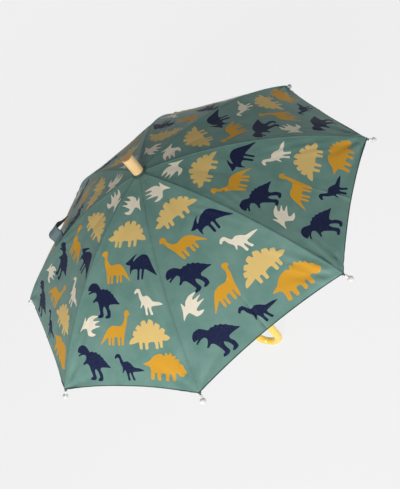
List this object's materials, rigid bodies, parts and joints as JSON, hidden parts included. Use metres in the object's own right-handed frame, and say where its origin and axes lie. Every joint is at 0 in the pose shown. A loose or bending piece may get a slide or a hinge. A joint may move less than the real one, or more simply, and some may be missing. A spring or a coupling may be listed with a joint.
{
  "type": "children's umbrella",
  "caption": "Open child's umbrella with a printed cloth canopy on hinged, springy ribs, a sliding runner, press catches and a crook handle.",
  "frame": {"origin": "on the shaft's axis, in the middle of the handle's straight grip", "axes": "+Z along the shaft towards the ferrule, +X the way the crook points"},
  "size_m": [0.6748, 0.6748, 0.6161],
  "materials": {
    "steel": "bright plated steel",
    "channel_steel": "plated strip steel",
    "glass_fibre": "dark pultruded rod",
    "black_plastic": "moulded, fine texture",
    "yellow_plastic": "glossy moulded",
    "wood": "pale turned wood, clear lacquer",
    "cloth": "woven polyester, sage green with printed silhouettes",
    "strap_cloth": "woven polyester, folded and stitched",
    "clear_plastic": "milky moulded",
    "snap": "plated"
  },
  "bodies": {
    "shaft": {"shaft_tube": "steel", "stop_pin": "steel", "handle": "yellow_plastic", "handle_pin": "steel", "handle_collar": "yellow_plastic", "ferrule": "wood", "crown_rosette": "cloth", "crown_washer": "black_plastic", "notch": "black_plastic", "notch_wire": "steel"},
    "upper_catch": {"upper_catch": "steel"},
    "lower_catch": {"lower_catch": "steel"},
    "rib_1": {"rib_inner_1": "channel_steel", "gore_1": "cloth"},
    "rib_end_1": {"rib_outer_1": "glass_fibre", "tip_1": "clear_plastic", "snap_stud": "snap"},
    "stretcher_1": {"stretcher_1": "channel_steel"},
    "rib_2": {"rib_inner_2": "channel_steel", "gore_2": "cloth"},
    "rib_end_2": {"rib_outer_2": "glass_fibre", "tip_2": "clear_plastic"},
    "stretcher_2": {"stretcher_2": "channel_steel"},
    "rib_3": {"rib_inner_3": "channel_steel", "gore_3": "cloth"},
    "rib_end_3": {"rib_outer_3": "glass_fibre", "tip_3": "clear_plastic"},
    "stretcher_3": {"stretcher_3": "channel_steel"},
    "rib_4": {"rib_inner_4": "channel_steel", "gore_4": "cloth"},
    "rib_end_4": {"rib_outer_4": "glass_fibre", "tip_4": "clear_plastic"},
    "stretcher_4": {"stretcher_4": "channel_steel"},
    "rib_5": {"rib_inner_5": "channel_steel", "gore_5": "cloth"},
    "rib_end_5": {"rib_outer_5": "glass_fibre", "tip_5": "clear_plastic"},
    "stretcher_5": {"stretcher_5": "channel_steel"},
    "rib_6": {"rib_inner_6": "channel_steel", "gore_6": "cloth"},
    "rib_end_6": {"rib_outer_6": "glass_fibre", "tip_6": "clear_plastic"},
    "stretcher_6": {"stretcher_6": "channel_steel"},
    "rib_7": {"rib_inner_7": "channel_steel", "gore_7": "cloth"},
    "rib_end_7": {"rib_outer_7": "glass_fibre", "tip_7": "clear_plastic"},
    "stretcher_7": {"stretcher_7": "channel_steel"},
    "rib_8": {"rib_inner_8": "channel_steel", "gore_8": "cloth"},
    "rib_end_8": {"rib_outer_8": "glass_fibre", "tip_8": "clear_plastic"},
    "stretcher_8": {"stretcher_8": "channel_steel"},
    "runner": {"runner": "black_plastic", "runner_wire": "steel", "runner_guard": "black_plastic"},
    "strap": {"tie_strap": "strap_cloth", "snap_socket": "snap"}
  },
  "joints": [
    {"name": "umbrella_fold", "type": "hinge", "parent": "shaft", "child": "rib_1", "pos_m": [0.00702, 0.00291, 0.4967], "axis": [-0.3827, 0.9239, 0], "range_deg": [0, 72.4], "deforming": ["gore_1", "gore_2", "gore_3", "gore_4", "gore_5", "gore_6", "gore_7", "gore_8", "upper_catch", "lower_catch", "tie_strap"]},
    {"name": "rib_1_flex", "type": "hinge", "parent": "rib_1", "child": "rib_end_1", "pos_m": [0.13673, 0.05664, 0.46651], "axis": [-0.3827, 0.9239, 0], "range_deg": [-15.5, 0]},
    {"name": "stretcher_1_pivot", "type": "hinge", "parent": "rib_1", "child": "stretcher_1", "pos_m": [0.13673, 0.05664, 0.46651], "axis": [-0.3827, 0.9239, 0], "range_deg": [-144.9, 0]},
    {"name": "rib_2_fold", "type": "hinge", "parent": "shaft", "child": "rib_2", "pos_m": [0.00291, 0.00702, 0.4967], "axis": [-0.9239, 0.3827, 0], "range_deg": [0, 72.4]},
    {"name": "rib_2_flex", "type": "hinge", "parent": "rib_2", "child": "rib_end_2", "pos_m": [0.05664, 0.13673, 0.46651], "axis": [-0.9239, 0.3827, 0], "range_deg": [-15.5, 0]},
    {"name": "stretcher_2_pivot", "type": "hinge", "parent": "rib_2", "child": "stretcher_2", "pos_m": [0.05664, 0.13673, 0.46651], "axis": [-0.9239, 0.3827, 0], "range_deg": [-144.9, 0]},
    {"name": "rib_3_fold", "type": "hinge", "parent": "shaft", "child": "rib_3", "pos_m": [-0.00291, 0.00702, 0.4967], "axis": [-0.9239, -0.3827, 0], "range_deg": [0, 72.4]},
    {"name": "rib_3_flex", "type": "hinge", "parent": "rib_3", "child": "rib_end_3", "pos_m": [-0.05664, 0.13673, 0.46651], "axis": [-0.9239, -0.3827, 0], "range_deg": [-15.5, 0]},
    {"name": "stretcher_3_pivot", "type": "hinge", "parent": "rib_3", "child": "stretcher_3", "pos_m": [-0.05664, 0.13673, 0.46651], "axis": [-0.9239, -0.3827, 0], "range_deg": [-144.9, 0]},
    {"name": "rib_4_fold", "type": "hinge", "parent": "shaft", "child": "rib_4", "pos_m": [-0.00702, 0.00291, 0.4967], "axis": [-0.3827, -0.9239, 0], "range_deg": [0, 72.4]},
    {"name": "rib_4_flex", "type": "hinge", "parent": "rib_4", "child": "rib_end_4", "pos_m": [-0.13673, 0.05664, 0.46651], "axis": [-0.3827, -0.9239, 0], "range_deg": [-15.5, 0]},
    {"name": "stretcher_4_pivot", "type": "hinge", "parent": "rib_4", "child": "stretcher_4", "pos_m": [-0.13673, 0.05664, 0.46651], "axis": [-0.3827, -0.9239, 0], "range_deg": [-144.9, 0]},
    {"name": "rib_5_fold", "type": "hinge", "parent": "shaft", "child": "rib_5", "pos_m": [-0.00702, -0.00291, 0.4967], "axis": [0.3827, -0.9239, 0], "range_deg": [0, 72.4]},
    {"name": "rib_5_flex", "type": "hinge", "parent": "rib_5", "child": "rib_end_5", "pos_m": [-0.13673, -0.05664, 0.46651], "axis": [0.3827, -0.9239, 0], "range_deg": [-15.5, 0]},
    {"name": "stretcher_5_pivot", "type": "hinge", "parent": "rib_5", "child": "stretcher_5", "pos_m": [-0.13673, -0.05664, 0.46651], "axis": [0.3827, -0.9239, 0], "range_deg": [-144.9, 0]},
    {"name": "rib_6_fold", "type": "hinge", "parent": "shaft", "child": "rib_6", "pos_m": [-0.00291, -0.00702, 0.4967], "axis": [0.9239, -0.3827, 0], "range_deg": [0, 72.4]},
    {"name": "rib_6_flex", "type": "hinge", "parent": "rib_6", "child": "rib_end_6", "pos_m": [-0.05664, -0.13673, 0.46651], "axis": [0.9239, -0.3827, 0], "range_deg": [-15.5, 0]},
    {"name": "stretcher_6_pivot", "type": "hinge", "parent": "rib_6", "child": "stretcher_6", "pos_m": [-0.05664, -0.13673, 0.46651], "axis": [0.9239, -0.3827, 0], "range_deg": [-144.9, 0]},
    {"name": "rib_7_fold", "type": "hinge", "parent": "shaft", "child": "rib_7", "pos_m": [0.00291, -0.00702, 0.4967], "axis": [0.9239, 0.3827, 0], "range_deg": [0, 72.4]},
    {"name": "rib_7_flex", "type": "hinge", "parent": "rib_7", "child": "rib_end_7", "pos_m": [0.05664, -0.13673, 0.46651], "axis": [0.9239, 0.3827, 0], "range_deg": [-15.5, 0]},
    {"name": "stretcher_7_pivot", "type": "hinge", "parent": "rib_7", "child": "stretcher_7", "pos_m": [0.05664, -0.13673, 0.46651], "axis": [0.9239, 0.3827, 0], "range_deg": [-144.9, 0]},
    {"name": "rib_8_fold", "type": "hinge", "parent": "shaft", "child": "rib_8", "pos_m": [0.00702, -0.00291, 0.4967], "axis": [0.3827, 0.9239, 0], "range_deg": [0, 72.4]},
    {"name": "rib_8_flex", "type": "hinge", "parent": "rib_8", "child": "rib_end_8", "pos_m": [0.13673, -0.05664, 0.46651], "axis": [0.3827, 0.9239, 0], "range_deg": [-15.5, 0]},
    {"name": "stretcher_8_pivot", "type": "hinge", "parent": "rib_8", "child": "stretcher_8", "pos_m": [0.13673, -0.05664, 0.46651], "axis": [0.3827, 0.9239, 0], "range_deg": [-144.9, 0]},
    {"name": "runner_pivot", "type": "hinge", "parent": "stretcher_1", "child": "runner", "pos_m": [0.00702, 0.00291, 0.43632], "axis": [-0.3827, 0.9239, 0], "range_deg": [0, 72.4]},
    {"name": "upper_catch_press", "type": "slide", "parent": "shaft", "child": "upper_catch", "axis": [-1, 0, 0], "range_m": [0, 0.0024], "stiffness_N_per_m": 500},
    {"name": "lower_catch_press", "type": "slide", "parent": "shaft", "child": "lower_catch", "axis": [-1, 0, 0], "range_m": [0, 0.0024], "stiffness_N_per_m": 500},
    {"name": "strap_swing", "type": "hinge", "parent": "rib_end_1", "child": "strap", "pos_m": [0.19177, 0.07944, 0.44699], "axis": [0.8408, 0.3483, -0.4145], "range_deg": [-100, 0]}
  ],
  "couplings": [
    {"joint": "rib_1_flex", "follows": "umbrella_fold", "ratio": -0.20718},
    {"joint": "stretcher_1_pivot", "follows": "umbrella_fold", "ratio": -2},
    {"joint": "rib_2_fold", "follows": "umbrella_fold", "ratio": 1},
    {"joint": "rib_2_flex", "follows": "umbrella_fold", "ratio": -0.20718},
    {"joint": "stretcher_2_pivot", "follows": "umbrella_fold", "ratio": -2},
    {"joint": "rib_3_fold", "follows": "umbrella_fold", "ratio": 1},
    {"joint": "rib_3_flex", "follows": "umbrella_fold", "ratio": -0.20718},
    {"joint": "stretcher_3_pivot", "follows": "umbrella_fold", "ratio": -2},
    {"joint": "rib_4_fold", "follows": "umbrella_fold", "ratio": 1},
    {"joint": "rib_4_flex", "follows": "umbrella_fold", "ratio": -0.20718},
    {"joint": "stretcher_4_pivot", "follows": "umbrella_fold", "ratio": -2},
    {"joint": "rib_5_fold", "follows": "umbrella_fold", "ratio": 1},
    {"joint": "rib_5_flex", "follows": "umbrella_fold", "ratio": -0.20718},
    {"joint": "stretcher_5_pivot", "follows": "umbrella_fold", "ratio": -2},
    {"joint": "rib_6_fold", "follows": "umbrella_fold", "ratio": 1},
    {"joint": "rib_6_flex", "follows": "umbrella_fold", "ratio": -0.20718},
    {"joint": "stretcher_6_pivot", "follows": "umbrella_fold", "ratio": -2},
    {"joint": "rib_7_fold", "follows": "umbrella_fold", "ratio": 1},
    {"joint": "rib_7_flex", "follows": "umbrella_fold", "ratio": -0.20718},
    {"joint": "stretcher_7_pivot", "follows": "umbrella_fold", "ratio": -2},
    {"joint": "rib_8_fold", "follows": "umbrella_fold", "ratio": 1},
    {"joint": "rib_8_flex", "follows": "umbrella_fold", "ratio": -0.20718},
    {"joint": "stretcher_8_pivot", "follows": "umbrella_fold", "ratio": -2},
    {"joint": "runner_pivot", "follows": "umbrella_fold", "ratio": 1}
  ]
}
